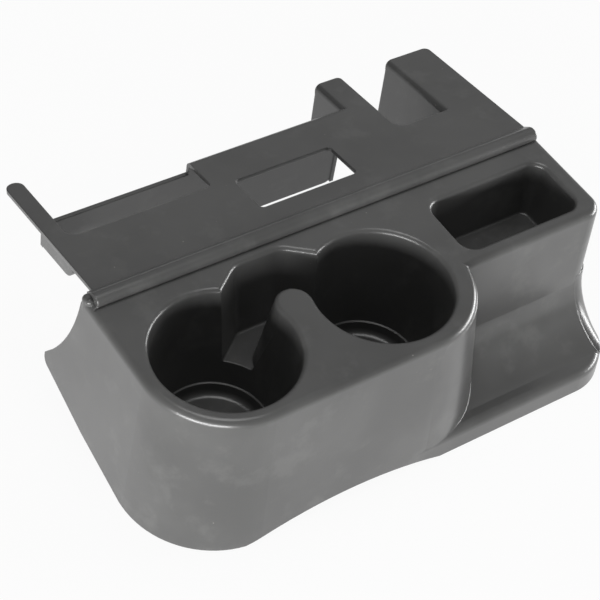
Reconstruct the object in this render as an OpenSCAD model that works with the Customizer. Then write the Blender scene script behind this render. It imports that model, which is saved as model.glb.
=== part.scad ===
// Car cup holder: one moulded shell that hooks over the edge of a centre console.
// Two tapered cups share a pocket for mug handles, with a coin bin beside them,
// and a sloping flange behind lies on the console and hooks down over it.
// Millimetres. X runs across the car, Y back along the flange, Z up.
// The origin is on the underside of the flange, where it rests on the console.

/* [Overall] */
// Width across the top, edge to edge
top_w = 306.6; // [304:0.2:312]
// Front of the top, measured from the groove at the flange
tray_d = 103.4; // [102:0.2:108]
// Height of the front skirt
skirt_h = 104; // [101:1:112]
// Wall thickness of the moulding
wall = 2.6; // [2:0.1:3]
// Radius of the rounded outer edge of the top
edge_r = 4.5; // [3.5:0.5:6]
// Outward slope of the outer walls, in degrees
skin_draft = 3.3; // [2:0.1:4]

/* [Cups] */
// Radius of each cup at its top
cup_r = 40.8; // [38:0.2:41.4]
// Distance between the two cup centres
cup_pitch = 101.2; // [98:0.2:103]
// Depth of the cups
cup_depth = 75; // [62:1:80]
// Slope of the cup walls, in degrees
cup_draft = 7.5; // [5:0.5:8]
// Width of the ledge that rings the cup above its floor
ledge_w = 1.2; // [0.6:0.1:1.6]
// Height of that ledge above the floor
ledge_h = 8; // [6:0.5:10]
// Round where the cup wall meets the floor
cup_floor_r = 4; // [2:0.5:6]
// Round of the edge at the mouth of cups, pocket and bin
rim_r = 3; // [1.5:0.5:3.5]
// Flat of the rim between a cup and the outer edge
rim_land = 9.4; // [8.4:0.2:11]

/* [Handle pocket] */
// Depth of the pocket between the cups
pocket_depth = 51; // [30:1:58]
// Distance of the pocket's back wall from the groove
pocket_back = 4.5; // [4:0.5:7]
// Width of the straight back wall of the pocket
pocket_w = 21; // [14:1:26]
// Radius of the two back corners of the pocket
pocket_r = 12; // [10.5:0.5:14]
// Slope of the pocket walls, in degrees
pocket_draft = 8.5; // [6:0.5:9]
// Radius of the tongue's rounded end between the cups
tongue_r = 10.9; // [9:0.1:11.5]

/* [Coin bin] */
// Width of the bin mouth
bin_w = 84; // [70:1:86]
// Length of the bin mouth, front to back
bin_l = 41.2; // [30:1:43]
// Depth of the bin
bin_depth = 37; // [25:1:48]
// Corner radius of the bin mouth
bin_r = 9; // [8:0.5:12]
// Front of the bin's block, measured from the groove
block_d = 63.5; // [62:0.5:68]
// Radius of the block's front corner
block_r = 12; // [9:0.5:13]

/* [Scooped foot] */
// Depth below the top where the front of the block starts to sweep out
scoop_top = 52; // [46:1:56]
// Radius of the foot's front corner, seen from above
foot_r = 28; // [20:1:32]
// Round of the foot's upper edge
foot_edge_r = 5; // [3:0.5:7]
// Lean of the cup block's side above the foot, in degrees
side_lean = 6.5; // [0:0.5:7]

/* [Skirt ends] */
// Reach of the skirt ends behind the groove
ear_reach = 41; // [36:1:44]
// Rise of the lower edge of the skirt ends, in degrees
hem_rise = 17.8; // [14:0.2:20]
// Height of the shallow arch in the front lower edge
arch_h = 9.6; // [2:0.2:12]
// Width of that arch
arch_w = 133; // [110:1:140]

/* [Flange] */
// Height of the flange above the top at the groove
step_h = 2.8; // [2.6:0.1:4]
// Slope of the flange, down toward the back, in degrees
flange_tilt = 7.67; // [5:0.1:9]
// Length of the long arm on the left
arm_len = 116; // [100:1:125]
// Width of the arm
arm_w = 10.5; // [9:0.5:14]
// Distance from the groove to the front of the wide notch
notch_y = 58; // [54:1:60]
// Length of the flange behind the groove at the rear wall
flange_len = 85.3; // [82:0.1:90]
// Length of the two tabs on the right
tab_len = 112.5; // [105:0.5:120]
// Distance from the groove to the front of the right notch
gap_y = 51; // [46:1:54]
// Width of the window
window_w = 66.5; // [40:0.5:70]
// Length of the window, front to back
window_l = 29; // [18:1:30]
// Height of the rolled bead along the front of the flange
bead_h = 2.4; // [2:0.1:3]

/* [Console hooks] */
// Height of the rear wall below the groove, right part
hook_h = 69; // [55:1:76]
// Height of the rear wall below the groove, left part
hook_left_h = 35; // [33:0.5:44]
// Height below the groove of the rear wall's top edge in the wide notch
hook_top = 17.6; // [17:0.2:20]
// Round of the rolled edges of the two tabs
roll_r = 4; // [3.5:0.5:6]

/* [Hidden] */
$fn = 96;
body_col = [0.20, 0.20, 0.21];
far = 400;
right_x = top_w / 2 + 0.8;
left_x = 0.8 - top_w / 2;
corner_r = cup_r + rim_land;
cup_y = -tray_d + corner_r;
cup_a = [left_x + corner_r, cup_y];
cup_b = [left_x + corner_r + cup_pitch, cup_y];
swell = [cup_b[0] + 4, cup_y];
mid_x = (cup_a[0] + cup_b[0]) / 2;
block_y = -block_d;
bin_c = [right_x - 12.1 - bin_w / 2, block_y + 9.2 + bin_l / 2];
tray_back = 1.8;
cup_foot = cup_r - (cup_depth - rim_r) * tan(cup_draft);
tongue_c = [mid_x, cup_y + 11.7];
pocket_b = [mid_x - pocket_w / 2, -pocket_back - pocket_r];
pocket_c = [mid_x + pocket_w / 2, -pocket_back - pocket_r];
pocket_run = 29;
pocket_a = pocket_b - pocket_run * [0.8, 0.6];
pocket_d = pocket_c + pocket_run * [0.8, -0.6];
pocket_corners = [pocket_a, pocket_b, pocket_c, pocket_d];
hollow_floor_r = 1.5;
block_face = block_y - (scoop_top - edge_r) * tan(skin_draft);
foot_front = -tray_d;
scoop_r = block_face - foot_front;
scoop_c = [block_face - scoop_r + 0.15, -scoop_top];
foot_gap = foot_front + foot_edge_r - scoop_c[0];
foot_drop = sqrt(pow(scoop_r + foot_edge_r, 2) - foot_gap * foot_gap);
foot_round = [foot_front + foot_edge_r, -scoop_top - foot_drop];
foot_top = -foot_round[1] - foot_edge_r - 0.05;
scoop_end = scoop_c + (foot_round - scoop_c) * scoop_r / (scoop_r + foot_edge_r);
foot_c = [right_x - foot_r, foot_front + foot_r];
flange_l = -145;
flange_r = right_x - 2.6;
bead_heel = 13.6;
arm_in = flange_l + arm_w;
notch_r = -43;
finger_l = 65.5;
finger_r = 83.5;
tab_l = 119.5;
window_x = -29.5;
window_y = 27;
hook_y = flange_len * cos(flange_tilt);
gap_step = 3.1 - gap_y * (1 - cos(flange_tilt)) - wall * sin(flange_tilt);
seat_y = 20;
seat_z = step_h - wall / cos(flange_tilt) - seat_y * tan(flange_tilt);

// Height of the flange's upper face at a distance behind the groove
function flange_z(y) = step_h - y * tan(flange_tilt);

// Corner p of a section, between its neighbours a and b, cut away to leave a round of radius r
module round_off(a, p, b, r) {
    u = (a - p) / norm(a - p);
    v = (b - p) / norm(b - p);
    half = acos(u * v) / 2;
    c = p + (u + v) / norm(u + v) * r / sin(half);
    ta = p + u * r / tan(half) - c;
    tb = p + v * r / tan(half) - c;
    difference() {
        polygon([c, c + ta * (1 + 1 / r), c + (p - c) * (1 + 2 / norm(p - c)), c + tb * (1 + 1 / r)]);
        translate(c) circle(r + 0.002);
    }
}

// Half section of a drafted wall with a rounded upper edge.
// r is its reach at the edge, top its depth, er the rounding, i an inset for the inside.
module lip(r, top, h, er, i) {
    u = r + (top + er - edge_r) * tan(skin_draft) - i;
    w = r + (h - edge_r) * tan(skin_draft) - i;
    e = max(er - i, 0);
    polygon([[0, -top - i], [u - e, -top - i], [u, -top - i - e], [w, -h], [0, -h]]);
    if (e > 0) translate([u - e, -top - i - e]) intersection() {
        circle(e);
        square(e + 1);
    }
}

// Sweeps a section along X, facing the front
module along_front(x0, x1, y) {
    translate([x0, y, 0]) mirror([0, 1, 0]) rotate([90, 0, 90]) linear_extrude(x1 - x0) children();
}

// Sweeps a section along Y, facing right, or left when side is -1
module along_side(x, y0, y1, side) {
    flip = side < 0 ? 1 : 0;
    translate([x, y1, 0]) mirror([flip, 0, 0]) rotate([90, 0, 0]) linear_extrude(y1 - y0) children();
}

// Body of the two cups' block, whole, or inset for its inside
module cup_block(i, y1) {
    h = skirt_h + (i > 0 ? 2 : 0);
    for (c = [cup_a, swell]) translate([c[0], c[1], 0]) rotate_extrude() lip(corner_r, 0, h, edge_r, i);
    along_front(cup_a[0], swell[0], cup_y) lip(corner_r, 0, h, edge_r, i);
    along_side(cup_a[0], cup_y, y1, -1) lip(corner_r, 0, h, edge_r, i);
    translate([cup_a[0] - 1, cup_y - 1, -h]) cube([swell[0] - cup_a[0] + 1, y1 - cup_y + 1, h - i]);
    intersection() {
        translate([swell[0], cup_y, -edge_r]) rotate([0, -side_lean, 0]) rotate_extrude() leaning_side(h, i);
        translate([swell[0] - 60, cup_y - 80, -h]) cube([160, 79, h - edge_r]);
    }
}

// Half section of the leaning side of the cup block
module leaning_side(h, i) {
    k = tan(skin_draft);
    polygon([[0, 20], [corner_r - i - 20 * k, 20], [corner_r - i + h * k + 0.8, -h - 20], [0, -h - 20]]);
}

// Body of the coin bin's block
module bin_block(i, y1) {
    h = skirt_h + (i > 0 ? 2 : 0);
    c = [right_x - block_r, block_y + block_r];
    translate([c[0], c[1], 0]) rotate_extrude() lip(block_r, 0, h, edge_r, i);
    along_front(swell[0], c[0], c[1]) lip(block_r, 0, h, edge_r, i);
    along_side(c[0], c[1], y1, 1) lip(block_r, 0, h, edge_r, i);
    translate([swell[0], c[1] - 1, -h]) cube([c[0] - swell[0] + 1, y1 - c[1] + 1, h - i]);
}

// Plan of the foot swept up to a given depth below the top
module foot_plan(top, er, i) {
    h = skirt_h + (i > 0 ? 2 : 0);
    translate([foot_c[0], foot_c[1], 0]) rotate_extrude() lip(foot_r, top, h, er, i);
    along_front(swell[0], foot_c[0], foot_c[1]) lip(foot_r, top, h, er, i);
    along_side(foot_c[0], foot_c[1], block_y + 8, 1) lip(foot_r, top, h, er, i);
    deep = block_y + 9 - foot_c[1];
    translate([swell[0], foot_c[1] - 1, -h]) cube([foot_c[0] - swell[0] + 1, deep, h - top - i]);
}

// Foot with the hollow sweep above it
module foot(i) {
    foot_plan(foot_top, foot_edge_r, i);
    difference() {
        intersection() {
            foot_plan(scoop_top, 0, i);
            rotate([90, 0, 90]) linear_extrude(far) difference() {
                translate([scoop_end[0], -skirt_h - 2]) square([scoop_r + 4, skirt_h + 2 - scoop_top]);
                translate(scoop_c) circle(scoop_r + i);
            }
        }
        translate([right_x + (scoop_top - edge_r) * tan(skin_draft) - i + 0.2, scoop_c[0], scoop_c[1]])
            rotate([0, 90 - skin_draft, 0]) rotate_extrude() edge_bite(scoop_r + i, block_r - i);
    }
}

// Section that rounds the outer edge of the sweep
module edge_bite(r, b) {
    difference() {
        translate([r - 1, -b]) square([b + 1, b + 4]);
        translate([r + b, -b]) circle(b);
    }
}

// Side view of the skirt: sloping hem and the curved rear ends
module side_view() {
    start = [-50, -skirt_h];
    knee = [-5, 9.9 - skirt_h];
    tip = [ear_reach, knee[1] + (ear_reach - knee[0]) * tan(hem_rise)];
    difference() {
        polygon([[-tray_d - 20, 5], [-tray_d - 20, -skirt_h], start, knee, tip, [ear_reach, 5]]);
        round_off(knee, tip, [ear_reach, 5], 6);
        translate([ear_reach + 97, 9.3]) circle(126.9, $fn = 180);
    }
}

// Inside of a cup, with the rounded mouth
module cup_section() {
    floor_p = [cup_foot - ledge_w, -cup_depth];
    ledge_r = cup_foot + ledge_h * tan(cup_draft);
    ledge = [ledge_r - ledge_w, ledge_h - cup_depth];
    difference() {
        polygon([[0, 1], [cup_r + rim_r, 1], [cup_r + rim_r, -rim_r], [cup_r, -rim_r],
            [ledge_r, ledge_h - cup_depth], ledge, floor_p, [0, -cup_depth]]);
        translate([cup_r + rim_r, -rim_r]) circle(rim_r);
        round_off(ledge, floor_p, [0, -cup_depth], cup_floor_r);
    }
}

// Outside of a cup below the top
module cup_skin() {
    k = tan(cup_draft);
    polygon([[0, -1], [cup_r + wall + (rim_r - 1) * k, -1], [cup_foot + wall + 3 * k, 3 - cup_depth],
        [cup_foot - 0.5, -cup_depth - wall], [0, -cup_depth - wall]]);
}

// Half section of a drafted hollow with a rounded mouth, starting at x0.
// It is grown by g for the outside of its wall.
module hollow_section(x0, r, depth, draft, g) {
    k = tan(draft);
    foot = r - (depth - rim_r) * k;
    if (g > 0) {
        polygon([[x0, -1], [r + g + (rim_r - 1) * k, -1], [foot + g - g * k, -depth - g], [x0, -depth - g]]);
    } else {
        floor_p = [foot, -depth];
        difference() {
            polygon([[x0, 1], [r + rim_r, 1], [r + rim_r, -rim_r], [r, -rim_r], floor_p, [x0, -depth]]);
            translate([r + rim_r, -rim_r]) circle(rim_r);
            round_off([r, -rim_r], floor_p, [x0, -depth], hollow_floor_r);
        }
    }
}

// Drafted hollow over a run of four corners, each rounded to r
module hollow(corners, r, depth, draft, g) {
    n = len(corners);
    up = g > 0 ? -1 : 1;
    m = (corners[0] + corners[1] + corners[2] + corners[3]) / 4;
    core = [for (p = corners) m + (p - m) * 0.95];
    translate([0, 0, -depth - g]) linear_extrude(depth + g + up) polygon(core);
    for (k = [0 : n - 1]) {
        p = corners[k];
        q = corners[(k + 1) % n];
        a = atan2(q[1] - p[1], q[0] - p[0]);
        translate([p[0], p[1], 0]) rotate([90, 0, a + 90])
            linear_extrude(norm(q - p)) hollow_section(-3, r, depth, draft, g);
        translate([p[0], p[1], 0]) rotate_extrude() hollow_section(0, r, depth, draft, g);
    }
}

// Tongue of the top between the cups, inset for its inside
module tongue(i) {
    translate([tongue_c[0], tongue_c[1], 0]) rotate_extrude() tongue_section(i, 0);
    translate([tongue_c[0], tongue_c[1], 0]) rotate([90, 0, 0]) linear_extrude(20) {
        tongue_section(i, -1);
        mirror([1, 0]) tongue_section(i, -1);
    }
}

// Half section of the tongue, starting at x0
module tongue_section(i, x0) {
    h = pocket_depth + 8;
    k = tan(cup_draft);
    p = [tongue_r - i + (i - rim_r) * k, -i];
    q = [tongue_r - i + (h - rim_r) * k, -h];
    difference() {
        polygon([[x0, -i], p, q, [x0, -h]]);
        if (rim_r - i > 0.3) round_off([x0, -i], p, q, rim_r - i);
    }
}

// Cups and handle pocket as thin walled hollows
module cup_walls() {
    for (c = [cup_a, cup_b]) translate([c[0], c[1], 0]) rotate_extrude() cup_skin();
    difference() {
        hollow(pocket_corners, pocket_r, pocket_depth, pocket_draft, wall);
        tongue(wall);
    }
}

// Space inside the cups and the pocket
module cup_space() {
    for (c = [cup_a, cup_b]) translate([c[0], c[1], 0]) rotate_extrude() cup_section();
    difference() {
        hollow(pocket_corners, pocket_r, pocket_depth, pocket_draft, 0);
        tongue(0);
    }
}

// Corners of the coin bin, clockwise from the front left
function bin_corners() = [for (s = [[-1, -1], [-1, 1], [1, 1], [1, -1]])
    bin_c + [s[0] * (bin_w / 2 - bin_r), s[1] * (bin_l / 2 - bin_r)]];

// Bead in side view, rolled up along the front of the flange
module bead_view(i) {
    deep = i > 0 ? 8 : 0;
    foot_p = [1.8 + i, -wall - deep];
    front = [1.8 + i, step_h + bead_h - i];
    crest = [8.4, step_h + bead_h - i];
    heel = [bead_heel, flange_z(bead_heel) - i * 1.03];
    difference() {
        polygon([foot_p, front, crest, heel, [bead_heel, flange_z(bead_heel) - wall - deep],
            [9 + i, -wall - deep]]);
        round_off(foot_p, front, crest, 4.2 - i);
        round_off(front, crest, heel, 6 - i);
    }
}

// Plan of the flange with its arm, notches, tabs and window
module flange_plan() {
    rear = flange_len - 6;
    fin = finger_l + roll_r;
    root = flange_len - 2.8;
    arm_tip = [flange_l, arm_len];
    arm_tip_in = [arm_in, arm_len];
    tab_tip = [flange_r, tab_len];
    difference() {
        polygon([[flange_l, 10], arm_tip, arm_tip_in, [arm_in, rear],
            [finger_l + 0.5, rear], [finger_l + 0.5, root], [fin, root], [fin, tab_len],
            tab_tip, [flange_r, 10]]);
        round_off([flange_l, 10], arm_tip, arm_tip_in, 5);
        round_off(arm_tip, arm_tip_in, [arm_in, rear], 5);
        round_off([fin, tab_len], tab_tip, [flange_r, 10], 4);
        notch_plan(arm_in, notch_r, notch_y, rear, 7, 3);
        notch_plan(finger_r, tab_l + roll_r, gap_y, tab_len, 8, 3);
        round_off([fin, tab_len], [finger_r, tab_len], [finger_r, gap_y], 3);
        window_plan();
    }
}

// Notch open to the back, with round inner corners
module notch_plan(x0, x1, y0, y1, r0, r1) {
    difference() {
        translate([x0, y0]) square([x1 - x0, y1 - y0 + 2]);
        round_off([x0, y1], [x0, y0], [x1, y0], r0);
        round_off([x0, y0], [x1, y0], [x1, y1], r1);
    }
}

// Window with rounded corners
module window_plan() {
    x = [window_x, window_x + window_w];
    y = [window_y, window_y + window_l];
    difference() {
        translate([x[0], y[0]]) square([window_w, window_l]);
        for (i = [0, 1]) for (j = [0, 1]) round_off([x[1 - i], y[j]], [x[i], y[j]], [x[i], y[1 - j]], 3);
    }
}

// Lays children onto the flange plane
module on_flange() {
    translate([0, 0, step_h]) rotate([-flange_tilt, 0, 0]) children();
}

// Plate of the flange and the rolled bead at its front
module flange_plate() {
    on_flange() translate([0, 0, -wall]) linear_extrude(wall) flange_plan();
    translate([flange_l, 0, 0]) rotate([90, 0, 90]) linear_extrude(flange_r + 0.5 - flange_l) difference() {
        bead_view(0);
        bead_view(wall);
    }
}

// Closed left end of the bead, with the shoulder and the small knob beside it
module bead_end() {
    translate([flange_l - 3, 0, 0]) rotate([90, 0, 90]) linear_extrude(5) bead_view(0);
    translate([flange_l - 4.3, 9.5, 0]) rotate_extrude() difference() {
        polygon([[0, -8], [3.4, -8], [3.4, 1.8], [0, 1.8]]);
        round_off([3.4, -8], [3.4, 1.8], [0, 1.8], 2);
    }
    translate([flange_l - 5, 7, 0.2]) sphere(2.2);
}

// Rear corner of the flange in side view, inset for its inside
module rear_bend(i) {
    reach = 14 + i;
    front = [hook_y - reach, flange_z(hook_y - reach) - i / cos(flange_tilt)];
    top = [hook_y - i, flange_z(hook_y - i) - i / cos(flange_tilt)];
    foot_p = [hook_y - i, top[1] - reach];
    difference() {
        polygon([front, top, foot_p, [front[0], foot_p[1]]]);
        round_off(front, top, foot_p, 4.6 - i);
    }
}

// Rear wall, with its top edge lowered in the wide notch
module rear_wall() {
    translate([notch_r, 0, 0]) rotate([90, 0, 90]) linear_extrude(finger_l + 1 - notch_r) difference() {
        rear_bend(0);
        rear_bend(wall);
    }
    translate([0, hook_y, 0]) rotate([90, 0, 0]) linear_extrude(wall) rear_view();
}

// Rear wall seen from behind
module rear_view() {
    x0 = arm_in - wall;
    x1 = notch_r - 4;
    x2 = finger_l + wall;
    difference() {
        translate([x0, -hook_h]) square([x2 - x0, hook_h - hook_top]);
        difference() {
            translate([x0 - 2, -hook_h - 2]) square([x1 - x0 + 2, hook_h - hook_left_h + 2]);
            round_off([x0, -hook_left_h], [x1, -hook_left_h], [x1, -hook_h], 6);
        }
        round_off([x1, -hook_left_h], [x1, -hook_h], [x2, -hook_h], 7);
        round_off([x1, -hook_h], [x2, -hook_h], [x2, -hook_top], 7);
    }
}

// Left end wall of the hook, seen from the side
module end_view() {
    low = 26;
    y0 = 48;
    y1 = hook_y - 0.5;
    y2 = y1 + 1.25;
    p = [y0, flange_z(y0) - low];
    q = [y1, flange_z(y1) - low];
    difference() {
        polygon([[y0, flange_z(y0) - 1], p, q, [y1, -hook_top - 1], [y2, flange_z(y2) - 1]]);
        round_off([y0, flange_z(y0)], p, q, 9);
    }
}

// Side wall under a tab, seen from the side
module tab_view(y0, step) {
    y1 = (tab_len - 1) * cos(flange_tilt);
    y2 = y0 + step;
    top = [y1, flange_z(y1) - roll_r];
    low = [y1 - 2, -hook_h];
    difference() {
        polygon([[y0, flange_z(y0) - 1], [y0, -hook_h], low, top,
            [y2, flange_z(y2) - roll_r], [y2, flange_z(y2) - 1]]);
        round_off([y0, -hook_h], low, top, 6);
    }
}

// Section of a tab's rolled edge, inset for its inside
module roll_view(i) {
    foot_p = [i - roll_r, -2.4 - i];
    top = [i - roll_r, roll_r - i];
    difference() {
        polygon([foot_p, top, [1 + i, roll_r - i], [1 + i, foot_p[1]]]);
        round_off(foot_p, top, [1 + i, roll_r - i], roll_r - i);
    }
}

// Tab edge rolled over into its side wall
module tab_wall(x, y0, step) {
    run = tab_len - y0 - step - 0.1;
    translate([x, 0, 0]) rotate([90, 0, 90]) linear_extrude(wall) tab_view(y0, step);
    on_flange() translate([x + roll_r, tab_len, -roll_r]) rotate([90, 0, 0])
        linear_extrude(run) difference() {
        roll_view(0);
        roll_view(wall);
    }
}

// Everything behind the groove
module flange() {
    difference() {
        union() {
            flange_plate();
            bead_end();
            rear_wall();
            translate([arm_in - wall, 0, 0]) rotate([90, 0, 90]) linear_extrude(wall) end_view();
            tab_wall(finger_l, flange_len - 4, 0.4);
            tab_wall(tab_l, gap_y - 3, gap_step);
        }
        on_flange() translate([0, 0, -wall - 4]) linear_extrude(wall + 8) window_plan();
    }
}

// Cup block, bin block and foot as one open shell, with cups, pocket and bin in it
module tray() {
    difference() {
        union() {
            intersection() {
                difference() {
                    union() {
                        cup_block(0, ear_reach);
                        bin_block(0, ear_reach);
                        foot(0);
                    }
                    cup_block(wall, far / 2);
                    bin_block(wall, far / 2);
                    foot(wall);
                }
                translate([-far, 0, 0]) rotate([90, 0, 90]) linear_extrude(2 * far) side_view();
            }
            cup_walls();
            hollow(bin_corners(), bin_r, bin_depth, cup_draft, wall);
        }
        cup_space();
        hollow(bin_corners(), bin_r, bin_depth, cup_draft, 0);
        front_arch();
        translate([-far, 0.8, -0.8]) cube([2 * far, 1.2, 5]);
        translate([left_x + 5, 7.2, -wall - 2]) cube([top_w - 10, 12, wall + 4]);
    }
}

// Shallow arch in the lower edge of the front
module front_arch() {
    r = (arch_w * arch_w / 4 + arch_h * arch_h) / (2 * arch_h);
    low = -skirt_h + arch_h - r;
    translate([cup_a[0] + 57, -tray_d + 30, low]) rotate([90, 0, 0]) cylinder(60, r, r, $fn = 240);
}

// Whole moulding
module cup_holder() {
    color(body_col) translate([0, -seat_y, -seat_z]) {
        tray();
        flange();
    }
}

cup_holder();
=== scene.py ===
from math import radians, tau

import bpy
from mathutils import Matrix, Vector


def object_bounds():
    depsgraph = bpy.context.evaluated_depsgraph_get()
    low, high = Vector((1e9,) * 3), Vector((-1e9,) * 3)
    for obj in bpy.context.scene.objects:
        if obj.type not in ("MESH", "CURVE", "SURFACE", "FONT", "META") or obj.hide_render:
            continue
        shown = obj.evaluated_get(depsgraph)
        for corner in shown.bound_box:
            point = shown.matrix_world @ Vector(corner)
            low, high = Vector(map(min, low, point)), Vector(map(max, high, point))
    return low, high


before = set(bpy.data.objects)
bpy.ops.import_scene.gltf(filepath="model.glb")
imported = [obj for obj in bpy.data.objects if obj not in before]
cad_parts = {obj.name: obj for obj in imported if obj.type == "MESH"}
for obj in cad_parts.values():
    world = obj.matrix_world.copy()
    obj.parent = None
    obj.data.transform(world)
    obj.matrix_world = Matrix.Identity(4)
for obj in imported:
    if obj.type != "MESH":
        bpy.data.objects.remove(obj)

bl_info = {
    "name": "Car cup holder",
    "version": (1, 0, 0),
    "blender": (4, 5, 0),
    "location": "3D View > Sidebar > Cup Holder",
    "description": "Dresses a moulded console cup holder and sets its studio",
    "category": "Object",
}

CAD_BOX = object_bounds()
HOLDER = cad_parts["cup_holder"]

# Share of the floor that the camera sees as white, the rest of it shows the shadow
FLOOR_WHITE = 0.93
FLOOR_SIZE = 6.0
FLOOR_GAP = 0.0005

# Where each lamp stands, what it faces and how large it is, in metres
CENTRE = (0.0, 0.0, 0.0)
LOW_FRONT = (0.0, -0.05, -0.03)
LAMPS = {
    "overhead_softbox": ((0.0, 0.0, 1.5), CENTRE, (0.7, 0.7)),
    "rear_softbox": ((0.70, 0.85, 1.05), CENTRE, (1.6, 1.2)),
    "left_softbox": ((-1.15, -0.98, 0.07), LOW_FRONT, (1.4, 0.3)),
    "right_softbox": ((1.45, -0.4, 0.10), LOW_FRONT, (1.2, 0.35)),
}


class Flow:
    """A socket that takes part in Python expressions: each operator adds one Math node."""

    def __init__(self, nodes, socket):
        self.nodes = nodes
        self.socket = socket

    def _math(self, operation, first, second=0.0):
        return self.nodes.add("ShaderNodeMath", {"operation": operation}, {0: first, 1: second})

    def __add__(self, other):
        return self._math("ADD", self, other)

    __radd__ = __add__

    def __sub__(self, other):
        return self._math("SUBTRACT", self, other)

    def __rsub__(self, other):
        return self._math("SUBTRACT", other, self)

    def __mul__(self, other):
        return self._math("MULTIPLY", self, other)

    __rmul__ = __mul__

    def at_least(self, other):
        return self._math("MAXIMUM", self, other)

    def at_most(self, other):
        return self._math("MINIMUM", self, other)

    def clipped(self):
        """This value held between 0 and 1."""
        return self.at_least(0.0).at_most(1.0)

    def between(self, low, high):
        """0 at low, 1 at high, and smooth in between."""
        return self.nodes.add(
            "ShaderNodeMapRange",
            {"interpolation_type": "SMOOTHSTEP"},
            {"Value": self, "From Min": low, "From Max": high},
            "Result",
        )


class Finish:
    """The nodes of a material or world, added by type, settings and socket values."""

    def __init__(self, owner):
        owner.use_nodes = True
        self.owner = owner
        self.tree = owner.node_tree
        self.tree.nodes.clear()

    def place(self, kind, settings=None, sockets=None):
        """A new node with its settings, socket values and links."""
        node = self.tree.nodes.new(kind)
        for key, value in (settings or {}).items():
            setattr(node, key, value)
        for key, value in (sockets or {}).items():
            if isinstance(value, Flow):
                self.tree.links.new(value.socket, node.inputs[key])
            else:
                node.inputs[key].default_value = value
        return node

    def add(self, kind, settings=None, sockets=None, output=0):
        return Flow(self, self.place(kind, settings, sockets).outputs[output])

    def finish(self, surface, end="ShaderNodeOutputMaterial"):
        self.place(end, {}, {"Surface": surface})
        return self.owner

    def noise(self, where, scale, detail=2.0, roughness=0.5, output="Fac"):
        """Soft noise with a given number of cells to the metre."""
        return self.add(
            "ShaderNodeTexNoise",
            {"noise_dimensions": "3D"},
            {"Vector": where, "Scale": scale, "Detail": detail, "Roughness": roughness},
            output,
        )

    def blend(self, factor, low, high):
        """A colour that goes from low to high."""
        return self.add(
            "ShaderNodeMix",
            {"data_type": "RGBA"},
            {0: factor, 6: low, 7: high},
            2,
        )


class PlasticSettings(bpy.types.PropertyGroup):
    """Look of the black moulded plastic"""

    colour: bpy.props.FloatVectorProperty(
        name="Colour", description="Base colour of the plastic", subtype="COLOR", size=3,
        min=0.0, max=1.0, default=(0.062, 0.062, 0.061))
    roughness: bpy.props.FloatProperty(
        name="Roughness", description="Roughness of the satin surface", subtype="FACTOR",
        min=0.0, max=1.0, default=0.33)
    gloss: bpy.props.FloatProperty(
        name="Gloss", description="Weight of the smoother skin over the satin surface", subtype="FACTOR",
        min=0.0, max=1.0, default=0.30)
    grain_size: bpy.props.FloatProperty(
        name="Grain Size", description="Width of one cell of the fine moulded grain",
        unit="LENGTH", min=0.0001, default=0.0007)
    grain_depth: bpy.props.FloatProperty(
        name="Grain Depth", description="Height of the fine moulded grain", unit="LENGTH",
        min=0.0, default=0.00003)
    edge_round: bpy.props.FloatProperty(
        name="Edge Round", description="Radius to which shading softens the thin edges", unit="LENGTH",
        min=0.0, default=0.0012)


class StudioSettings(bpy.types.PropertyGroup):
    """Camera and light"""

    camera_target: bpy.props.FloatVectorProperty(
        name="Camera Target", description="Point on the camera's axis", subtype="TRANSLATION", unit="LENGTH",
        size=3, default=(0.0050634, -0.0303395, -0.0545707))
    camera_distance: bpy.props.FloatProperty(
        name="Camera Distance", description="Distance from the camera to its target", unit="LENGTH",
        default=1.0483011)
    camera_turn: bpy.props.FloatProperty(
        name="Camera Turn", description="Direction of view around the vertical", subtype="ANGLE",
        default=radians(-42.883))
    camera_height: bpy.props.FloatProperty(
        name="Camera Height", description="Angle of the view below the horizon", subtype="ANGLE",
        default=radians(47.062))
    camera_roll: bpy.props.FloatProperty(
        name="Camera Roll", description="Roll of the camera about its axis", subtype="ANGLE",
        default=radians(11.999))
    camera_lens: bpy.props.FloatProperty(
        name="Lens", description="Focal length on a 36 mm wide sensor, in millimetres", default=107.524)
    camera_shift: bpy.props.FloatVectorProperty(
        name="Shift", description="Shift of the lens, in frame widths", size=2, default=(-0.0568, -0.0033))
    floor_colour: bpy.props.FloatVectorProperty(
        name="Floor Colour", description="Colour of the pale floor", subtype="COLOR", size=3,
        min=0.0, max=1.0, default=(0.80, 0.80, 0.80))
    surround: bpy.props.FloatProperty(
        name="Surround Light", description="Strength of the soft light from all round", min=0.0, default=0.28)
    top_power: bpy.props.FloatProperty(
        name="Top Light", description="Power of the soft light overhead", subtype="POWER", unit="POWER",
        min=0.0, default=6.0)
    rear_power: bpy.props.FloatProperty(
        name="Rear Light", description="Power of the broad light behind", subtype="POWER", unit="POWER",
        min=0.0, default=2.8)
    left_power: bpy.props.FloatProperty(
        name="Left Light", description="Power of the low soft light on the left",
        subtype="POWER", unit="POWER",
        min=0.0, default=38.0)
    right_power: bpy.props.FloatProperty(
        name="Right Light", description="Power of the low soft light on the right",
        subtype="POWER", unit="POWER",
        min=0.0, default=22.0)


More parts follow.
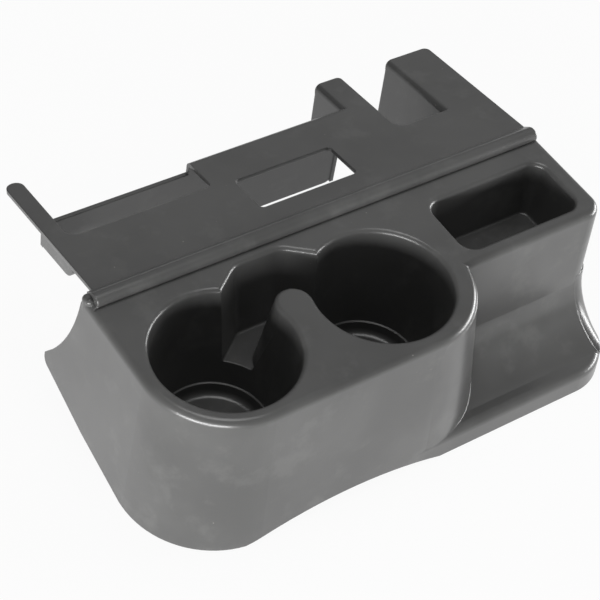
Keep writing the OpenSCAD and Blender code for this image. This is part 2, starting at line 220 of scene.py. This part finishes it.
def black_plastic(look):
    """Satin black plastic with a fine moulded grain, soft mottling, and thin edges lightened in the colour,
    partly as wear and partly as a painted highlight.
    """
    f = Finish(bpy.data.materials.new("Black Moulded Plastic"))
    place = f.add("ShaderNodeTexCoord", output="Object")
    normal = f.add("ShaderNodeNewGeometry", output="Normal")
    soft = f.add("ShaderNodeBevel", {"samples": 6}, {"Radius": look.edge_round})

    # how far the softened normal leaves the true one marks the edges
    bend = f.add("ShaderNodeVectorMath", {"operation": "DOT_PRODUCT"}, {0: normal, 1: soft}, "Value")
    worn_edge_and_painted_highlight = (1.0 - bend).between(0.01, 0.14)

    grain = f.noise(place, 1.0 / look.grain_size, 2.0, 0.6)
    cloud = f.noise(place, 14.0, 3.0, 0.55)
    streak = f.noise(place, 95.0, 2.0, 0.5)
    smudge = f.noise(place, 38.0, 4.0, 0.62)
    speck = f.add("ShaderNodeTexVoronoi", {"feature": "F1"}, {"Vector": place, "Scale": 160.0}, "Distance")
    speck_size = f.noise(place, 420.0, 1.0, 0.5)
    dust = (1.0 - speck.between(0.03, 0.09)) * speck_size.between(0.60, 0.72)

    colour = Vector(look.colour)
    shade = tuple(colour * 0.86) + (1.0,)
    light = tuple(colour * 1.16) + (1.0,)
    base = f.blend(cloud.between(0.32, 0.68), shade, light)
    base = f.blend(smudge.between(0.52, 0.70) * 0.16, base, (0.17, 0.17, 0.165, 1.0))
    # edges lightened in the base colour: partly wear, partly a painted highlight where rims and edges catch the
    # light
    base = f.blend(worn_edge_and_painted_highlight * 0.30, base, (0.16, 0.16, 0.16, 1.0))
    base = f.blend(dust * 0.55, base, (0.34, 0.33, 0.30, 1.0))

    rough = look.roughness + (cloud - 0.5) * 0.10 + (streak - 0.5) * 0.06 + dust * 0.2 + (grain - 0.5) * 0.08
    bump = f.add(
        "ShaderNodeBump", {},
        {"Strength": 1.0, "Distance": look.grain_depth, "Height": grain, "Normal": soft})
    shader = f.add(
        "ShaderNodeBsdfPrincipled", {},
        {"Base Color": base, "Roughness": rough.clipped(), "Normal": bump, "IOR": 1.5,
         "Coat Weight": look.gloss, "Coat Roughness": 0.16, "Coat Normal": bump})
    return f.finish(shader)


def pale_floor(colour):
    """Pale floor that the camera sees as white, with the soft shadow kept."""
    f = Finish(bpy.data.materials.new("Pale Floor"))
    seen = f.add("ShaderNodeLightPath", output="Is Camera Ray")
    mirrored = f.add("ShaderNodeLightPath", output="Is Glossy Ray")
    white = f.add("ShaderNodeEmission", {}, {"Color": (1.0, 1.0, 1.0, 1.0), "Strength": 1.0})
    plain = f.add("ShaderNodeBsdfDiffuse", {}, {"Color": tuple(colour) + (1.0,)})
    mixed = f.add("ShaderNodeMixShader", {}, {0: (seen + mirrored).clipped() * FLOOR_WHITE, 1: plain, 2: white})
    return f.finish(mixed)


class CUPHOLDER_OT_plastic(bpy.types.Operator):
    """Give the moulding its black plastic"""

    bl_idname = "cup_holder.plastic"
    bl_label = "Black Plastic"
    bl_options = {"REGISTER", "UNDO"}

    def execute(self, context):
        material = black_plastic(context.scene.cup_holder_plastic)
        if HOLDER.material_slots:
            for held in HOLDER.material_slots:
                held.material = material
        else:
            HOLDER.data.materials.append(material)
        return {"FINISHED"}


class CUPHOLDER_OT_studio(bpy.types.Operator):
    """Set the floor, the soft lights and the camera"""

    bl_idname = "cup_holder.studio"
    bl_label = "Studio"
    bl_options = {"REGISTER", "UNDO"}

    def execute(self, context):
        look = context.scene.cup_holder_studio
        low = CAD_BOX[0][2] - FLOOR_GAP
        bpy.ops.mesh.primitive_plane_add(size=FLOOR_SIZE, location=(0.0, 0.0, low))
        floor = context.object
        floor.name = "floor"
        floor.data.materials.append(pale_floor(look.floor_colour))

        powers = (look.top_power, look.rear_power, look.left_power, look.right_power)
        for (name, (place, aim, size)), power in zip(LAMPS.items(), powers):
            soft_light(name, place, aim, size, power)
        white_surround(context.scene, look.surround)
        photo_camera(context.scene, look)
        context.scene.view_settings.view_transform = "Standard"
        return {"FINISHED"}


def soft_light(name, place, aim, size, power):
    """A broad area lamp that faces a point."""
    lamp = bpy.data.lights.new(name, "AREA")
    lamp.shape = "RECTANGLE"
    lamp.size, lamp.size_y = size
    lamp.energy = power
    holder = bpy.data.objects.new(name, lamp)
    bpy.context.scene.collection.objects.link(holder)
    holder.location = place
    holder.rotation_euler = (Vector(aim) - Vector(place)).to_track_quat("-Z", "Y").to_euler()


def white_surround(scene, strength):
    """World that lights softly and shows white to the camera."""
    f = Finish(bpy.data.worlds.new("Studio"))
    seen = f.add("ShaderNodeLightPath", output="Is Camera Ray")
    soft = f.add("ShaderNodeBackground", {}, {"Strength": strength})
    white = f.add("ShaderNodeBackground", {}, {"Strength": 1.0})
    mixed = f.add("ShaderNodeMixShader", {}, {0: seen, 1: soft, 2: white})
    scene.world = f.finish(mixed, "ShaderNodeOutputWorld")


def photo_camera(scene, look):
    """Camera at the photograph's angle."""
    data = bpy.data.cameras.new("photo_camera")
    data.sensor_width = 36.0
    data.lens = look.camera_lens
    data.shift_x, data.shift_y = look.camera_shift
    data.clip_end = 20.0
    camera = bpy.data.objects.new("photo_camera", data)
    scene.collection.objects.link(camera)
    turn = (
        Matrix.Rotation(look.camera_turn, 4, "Z")
        @ Matrix.Rotation(tau / 4 - look.camera_height, 4, "X")
        @ Matrix.Rotation(look.camera_roll, 4, "Z")
    )
    away = turn @ Vector((0.0, 0.0, look.camera_distance))
    camera.matrix_world = Matrix.Translation(Vector(look.camera_target) + away) @ turn
    scene.camera = camera


class CUPHOLDER_PT_panel(bpy.types.Panel):
    """Steps and settings of the cup holder"""

    bl_idname = "CUPHOLDER_PT_panel"
    bl_label = "Cup Holder"
    bl_space_type = "VIEW_3D"
    bl_region_type = "UI"
    bl_category = "Cup Holder"

    def draw(self, context):
        steps = {CUPHOLDER_OT_plastic: "cup_holder_plastic", CUPHOLDER_OT_studio: "cup_holder_studio"}
        for kind, group in steps.items():
            box = self.layout.box()
            box.operator(kind.bl_idname)
            settings = getattr(context.scene, group)
            for name in settings.bl_rna.properties.keys():
                if name not in ("rna_type", "name"):
                    box.prop(settings, name)


CLASSES = (PlasticSettings, StudioSettings, CUPHOLDER_OT_plastic, CUPHOLDER_OT_studio, CUPHOLDER_PT_panel)


def register():
    for kind in CLASSES:
        bpy.utils.register_class(kind)
    bpy.types.Scene.cup_holder_plastic = bpy.props.PointerProperty(type=PlasticSettings)
    bpy.types.Scene.cup_holder_studio = bpy.props.PointerProperty(type=StudioSettings)


def unregister():
    del bpy.types.Scene.cup_holder_studio
    del bpy.types.Scene.cup_holder_plastic
    for kind in reversed(CLASSES):
        bpy.utils.unregister_class(kind)


def main():
    register()
    bpy.ops.cup_holder.plastic()
    bpy.ops.cup_holder.studio()


if __name__ == "__main__":
    main()
